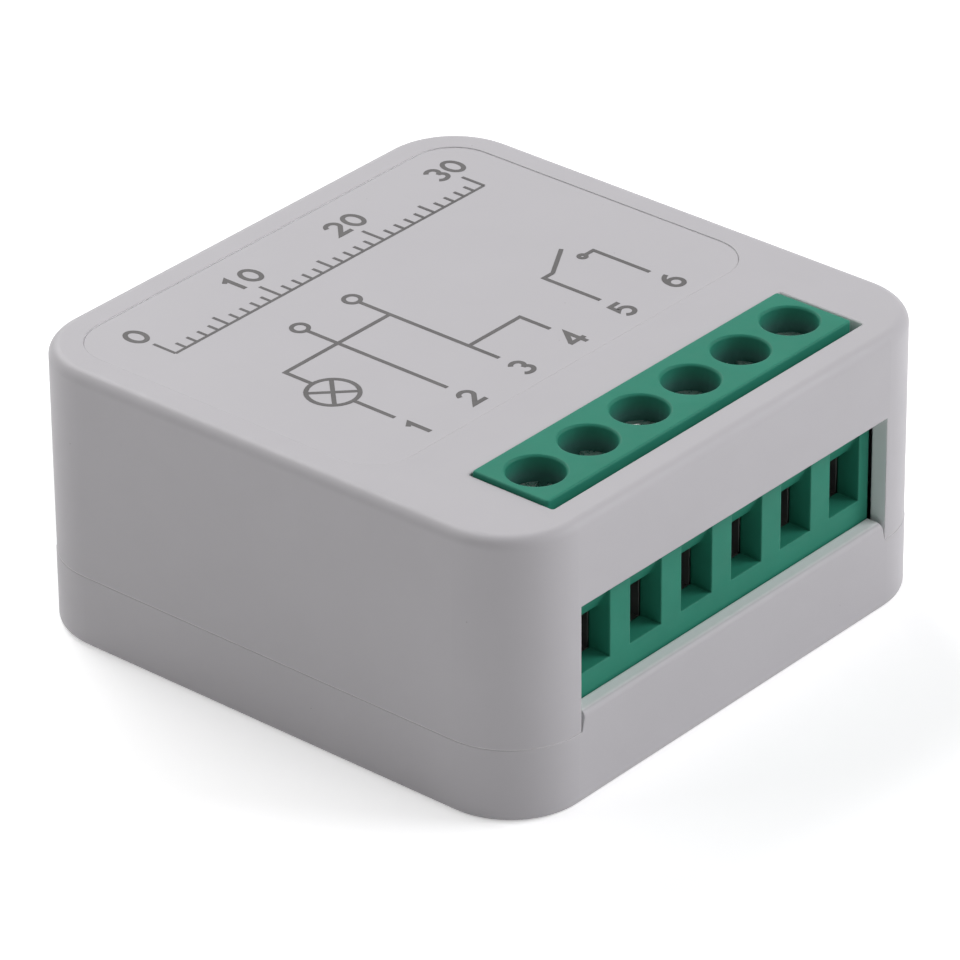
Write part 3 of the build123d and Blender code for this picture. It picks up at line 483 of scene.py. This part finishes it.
PRINT_HEIGHT = 0.012 * MM
PRINT_STEP = 0.0005 * MM


def add_mesh(name, mesh, material, body=MODULE):
    """Put a finished mesh in the scene, riding on a body."""
    piece = bpy.data.objects.new(name, mesh)
    bpy.context.scene.collection.objects.link(piece)
    mesh.materials.append(material)
    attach(piece, body)


def ribbon(build, points, width, height, closed=False):
    """Add one printed line, mitred at its corners; points and width in millimetres."""
    sections = []
    last = len(points) - 1
    for k, (x, y) in enumerate(points):
        here = Vector((x, y))
        runs = []
        if closed or k > 0:
            runs.append((here - Vector(points[k - 1])).normalized())
        if closed or k < last:
            runs.append((Vector(points[(k + 1) % len(points)]) - here).normalized())
        along = sum(runs, Vector((0.0, 0.0))).normalized()
        reach = width / 2 / along.dot(runs[0])
        across = Vector((-along.y, along.x)) * reach
        corners = []
        for side, z in ((1, 0.0), (-1, 0.0), (-1, height), (1, height)):
            place = (here + across * side) * MM
            corners.append(build.verts.new((place.x, place.y, film_high.z + z)))
        sections.append(corners)
    pairs = list(zip(sections, sections[1:]))
    if closed:
        pairs.append((sections[-1], sections[0]))
    else:
        build.faces.new(sections[0])
        build.faces.new(list(reversed(sections[-1])))
    for first, second in pairs:
        for k in range(4):
            n = (k + 1) % 4
            build.faces.new((first[k], second[k], second[n], first[n]))


def arc(x, y, across, up, start, end, sides=16):
    """Points along an oval from one angle to another, in degrees."""
    turns = [math.radians(start + (end - start) * k / sides) for k in range(sides + 1)]
    return [(x + across * math.cos(a), y + up * math.sin(a)) for a in turns]


def oval(x, y, across, up, sides=36):
    """Points once round an oval."""
    return arc(x, y, across, up, 0, 360, sides)[:-1]


def line_work(name, open_lines, closed_lines):
    """Printed lines as one thin piece; each line is its points and its width.

    Each line stands a hair higher than the last, so that crossing lines share no face.
    """
    mesh = bpy.data.meshes.new(name)
    build = bmesh.new()
    height = PRINT_HEIGHT
    for lines, closed in ((open_lines, False), (closed_lines, True)):
        for points, width in lines:
            ribbon(build, points, width, height, closed)
            height += PRINT_STEP
    bmesh.ops.recalc_face_normals(build, faces=build.faces)
    build.to_mesh(mesh)
    build.free()
    add_mesh(name, mesh, print_ink)


# Strokes of each numeral one unit high: first the open ones, then the closed
DIGITS = {
    "0": ([], [oval(0, 0, 0.30, 0.42)]),
    "1": ([[(-0.17, 0.27), (0.05, 0.42), (0.05, -0.5)]], []),
    "2": ([arc(0, 0.18, 0.26, 0.25, 170, -35) + [(-0.27, -0.43), (0.30, -0.43)]], []),
    "3": ([arc(-0.01, 0.20, 0.24, 0.22, 150, -80), arc(-0.02, -0.20, 0.27, 0.23, 75, -150)], []),
    "4": ([[(0.14, -0.5), (0.14, 0.42), (-0.33, -0.18)], [(-0.40, -0.20), (0.35, -0.20)]], []),
    "5": (
        [[(0.25, 0.42), (-0.20, 0.42), (-0.23, 0.02)] + arc(-0.01, -0.16, 0.27, 0.27, 118, -145)],
        [],
    ),
    "6": ([arc(0.22, -0.15, 0.49, 0.58, 95, 180)], [oval(0, -0.15, 0.27, 0.27)]),
}

# All print is placed and sized in millimetres
NUMERAL_HEIGHT = 1.9
NUMERAL_WEIGHT = 0.34
DIGIT_ADVANCE = 0.85


def numeral(name, text, x, y):
    """Printed number as one thin piece, centred on a point."""
    strokes = ([], [])
    for k, digit in enumerate(text):
        middle = x + (k - (len(text) - 1) / 2) * DIGIT_ADVANCE * NUMERAL_HEIGHT
        for kind, outlines in zip(strokes, DIGITS[digit]):
            for points in outlines:
                placed = [(middle + u * NUMERAL_HEIGHT, y + v * NUMERAL_HEIGHT) for u, v in points]
                kind.append((placed, NUMERAL_WEIGHT))
    line_work(name, *strokes)


POLE_PITCH = 5.0
POLE_NUMBER_Y = -5.6
pole_x = [(pole - (POLES - 1) / 2) * POLE_PITCH for pole in range(POLES)]
for pole in range(POLES):
    numeral(f"pole_number_{pole + 1}", str(pole + 1), pole_x[pole], POLE_NUMBER_Y)

# Plain wiring sketch over the pole numbers: a lamp, a switch and two supply ends
LINE = 0.3
LEAD_FOOT = -3.7
LAMP_Y, LAMP_RADIUS = 1.4, 1.7
LAMP_TOP, LAMP_FOOT = LAMP_Y + LAMP_RADIUS, LAMP_Y - LAMP_RADIUS
SUPPLY_Y, SUPPLY_RADIUS = 8.6, 0.55
SUPPLY_FOOT = SUPPLY_Y - SUPPLY_RADIUS
BUS_Y = 5.4
BRIDGE_Y = -1.2
SWITCH_Y, SWITCH_STUB = 1.0, 0.9
BLADE_SHORT, BLADE_RISE = 1.2, 1.7
CONTACT_X, CONTACT_RADIUS = 1.1, 0.25
lamp_x, supply_x, load_x, bridge_x, switch_left, switch_right = pole_x
chord = LAMP_RADIUS * math.sqrt(0.5)
open_paths = [
    [(lamp_x, LEAD_FOOT), (lamp_x, LAMP_FOOT)],
    [(lamp_x - chord, LAMP_Y - chord), (lamp_x + chord, LAMP_Y + chord)],
    [(lamp_x - chord, LAMP_Y + chord), (lamp_x + chord, LAMP_Y - chord)],
    [(lamp_x, LAMP_TOP), (lamp_x, BUS_Y), (load_x, BUS_Y)],
    [(supply_x, LEAD_FOOT), (supply_x, SUPPLY_FOOT)],
    [(load_x, LEAD_FOOT), (load_x, SUPPLY_FOOT)],
    [(bridge_x, LEAD_FOOT), (bridge_x, BRIDGE_Y), (load_x, BRIDGE_Y)],
    [(switch_left, LEAD_FOOT), (switch_left, SWITCH_Y), (switch_left + SWITCH_STUB, SWITCH_Y)],
    [(switch_left + SWITCH_STUB, SWITCH_Y), (switch_right - BLADE_SHORT, SWITCH_Y + BLADE_RISE)],
    [(switch_right - SWITCH_STUB, SWITCH_Y), (switch_right, SWITCH_Y), (switch_right, LEAD_FOOT)],
]
closed_paths = [
    oval(lamp_x, LAMP_Y, LAMP_RADIUS, LAMP_RADIUS),
    oval(supply_x, SUPPLY_Y, SUPPLY_RADIUS, SUPPLY_RADIUS),
    oval(load_x, SUPPLY_Y, SUPPLY_RADIUS, SUPPLY_RADIUS),
    oval(switch_right - CONTACT_X, SWITCH_Y, CONTACT_RADIUS, CONTACT_RADIUS, 16),
]
line_work(
    "wiring_sketch",
    [(path, LINE) for path in open_paths],
    [(path, LINE) for path in closed_paths],
)

# Plain millimetre scale along the back of the film, for the length of bare wire
SCALE_Y, SCALE_LEFT, SCALE_LENGTH = 12.4, -15.0, 30
SCALE_LINE = 0.22
SCALE_NUMBER_RISE = 3.4
TEN_TICK, FIVE_TICK, ONE_TICK = 1.9, 1.4, 0.9
ticks = [([(SCALE_LEFT, SCALE_Y), (SCALE_LEFT + SCALE_LENGTH, SCALE_Y)], SCALE_LINE)]
for step in range(SCALE_LENGTH + 1):
    tall = TEN_TICK if step % 10 == 0 else FIVE_TICK if step % 5 == 0 else ONE_TICK
    x = SCALE_LEFT + step
    ticks.append(([(x, SCALE_Y), (x, SCALE_Y + tall)], SCALE_LINE))
line_work("length_scale", ticks, [])
for step in range(0, SCALE_LENGTH + 1, 10):
    numeral(f"scale_number_{step}", str(step), SCALE_LEFT + step, SCALE_Y + SCALE_NUMBER_RISE)


# Floor, light and camera

def seen_directly(tree):
    """1 for a ray from the camera, off a mirror or through glass, 0 for the light on things."""
    path = tree.nodes.new("ShaderNodeLightPath")
    total = path.outputs["Is Camera Ray"]
    for ray in ("Is Glossy Ray", "Is Transmission Ray"):
        total = combine(tree, "MAXIMUM", total, path.outputs[ray])
    return total


FLOOR_HALF = 1.5
FLOOR_DROP = 0.01 * MM
FLOOR_TONES = ((0.93, 0.93, 0.93), (0.95, 0.95, 0.95))
FLOOR_LIFT = 0.4


def floor(lift):
    """Plain pale floor; lift whitens what is seen of it, and its shadows stay."""
    corners = [(x * FLOOR_HALF, y * FLOOR_HALF, 0) for x, y in ((-1, -1), (1, -1), (1, 1), (-1, 1))]
    mesh = bpy.data.meshes.new("floor")
    mesh.from_pydata(corners, [], [(0, 1, 2, 3)])
    piece = bpy.data.objects.new("floor", mesh)
    bpy.context.scene.collection.objects.link(piece)
    piece.location.z = -FLOOR_DROP
    material, tree, shader = node_material("floor_paper")
    tone = tint(tree, spread(tree, noise(tree, 3.0), 0.0, 1.0), *FLOOR_TONES)
    tree.links.new(tone, shader.inputs["Base Color"])
    shader.inputs["Roughness"].default_value = 0.9
    shader.inputs["Specular IOR Level"].default_value = 0.1
    shader.inputs["Emission Color"].default_value = (*WHITE, 1.0)
    glow = spread(tree, seen_directly(tree), 0.0, lift, 0.0, 1.0)
    tree.links.new(glow, shader.inputs["Emission Strength"])
    mesh.materials.append(material)


SURROUNDINGS_LEVEL = 0.12


def background(tree, strength):
    """White world shader of a strength."""
    node = tree.nodes.new("ShaderNodeBackground")
    node.inputs["Color"].default_value = (*WHITE, 1.0)
    node.inputs["Strength"].default_value = strength
    return node.outputs["Background"]


def surroundings(strength):
    """White behind everything for the camera, a dim even light for the rest."""
    world = bpy.data.worlds.new("surroundings")
    world.use_nodes = True
    tree = world.node_tree
    tree.nodes.clear()
    output = tree.nodes.new("ShaderNodeOutputWorld")
    mix = tree.nodes.new("ShaderNodeMixShader")
    tree.links.new(seen_directly(tree), mix.inputs["Fac"])
    tree.links.new(background(tree, strength), mix.inputs[1])
    tree.links.new(background(tree, 1.0), mix.inputs[2])
    tree.links.new(mix.outputs["Shader"], output.inputs["Surface"])
    bpy.context.scene.world = world


# Soft square lamps, all aimed at the case: name, place in millimetres, power in watts and colour
LIGHT_TARGET = (0, 0, 10)
LIGHT_SIZE = 0.4
LIGHTS = (
    ("right_front", (450, -450, 450), 3.26, (0.975, 0.975, 1.0)),
    ("front", (0, -550, 450), 0.80, WHITE),
    ("left_back", (-400, 450, 400), 1.03, WHITE),
    ("back", (150, 500, 500), 2.92, WHITE),
)


def area_light(name, place, power, colour):
    """Soft square lamp, aimed at the case."""
    lamp = bpy.data.lights.new(name, "AREA")
    lamp.shape = "SQUARE"
    lamp.size = LIGHT_SIZE
    lamp.energy = power
    lamp.color = colour
    holder = bpy.data.objects.new(name, lamp)
    bpy.context.scene.collection.objects.link(holder)
    holder.location = Vector(place) * MM
    aim = (Vector(LIGHT_TARGET) - Vector(place)).normalized()
    holder.rotation_euler = aim.to_track_quat("-Z", "Y").to_euler()


floor(FLOOR_LIFT)
surroundings(SURROUNDINGS_LEVEL)
for light in LIGHTS:
    area_light(*light)

# Camera at the photo's viewing angle: place and lens in millimetres, turn in degrees
CAMERA_PLACE = (-285.966, -245.266, 222.763)
CAMERA_TURN = (60.3926, 0.4579, -49.6275)
CAMERA_LENS = 252.989
SENSOR_WIDTH = 36.0
CLIP_START = 10 * MM
camera = bpy.data.cameras.new("camera")
camera.lens = CAMERA_LENS
camera.sensor_width = SENSOR_WIDTH
camera.clip_start = CLIP_START
camera_holder = bpy.data.objects.new("camera", camera)
bpy.context.scene.collection.objects.link(camera_holder)
camera_holder.location = Vector(CAMERA_PLACE) * MM
camera_holder.rotation_euler = Euler([math.radians(a) for a in CAMERA_TURN], "XYZ")
bpy.context.scene.camera = camera_holder
bpy.context.scene.view_settings.view_transform = "Standard"
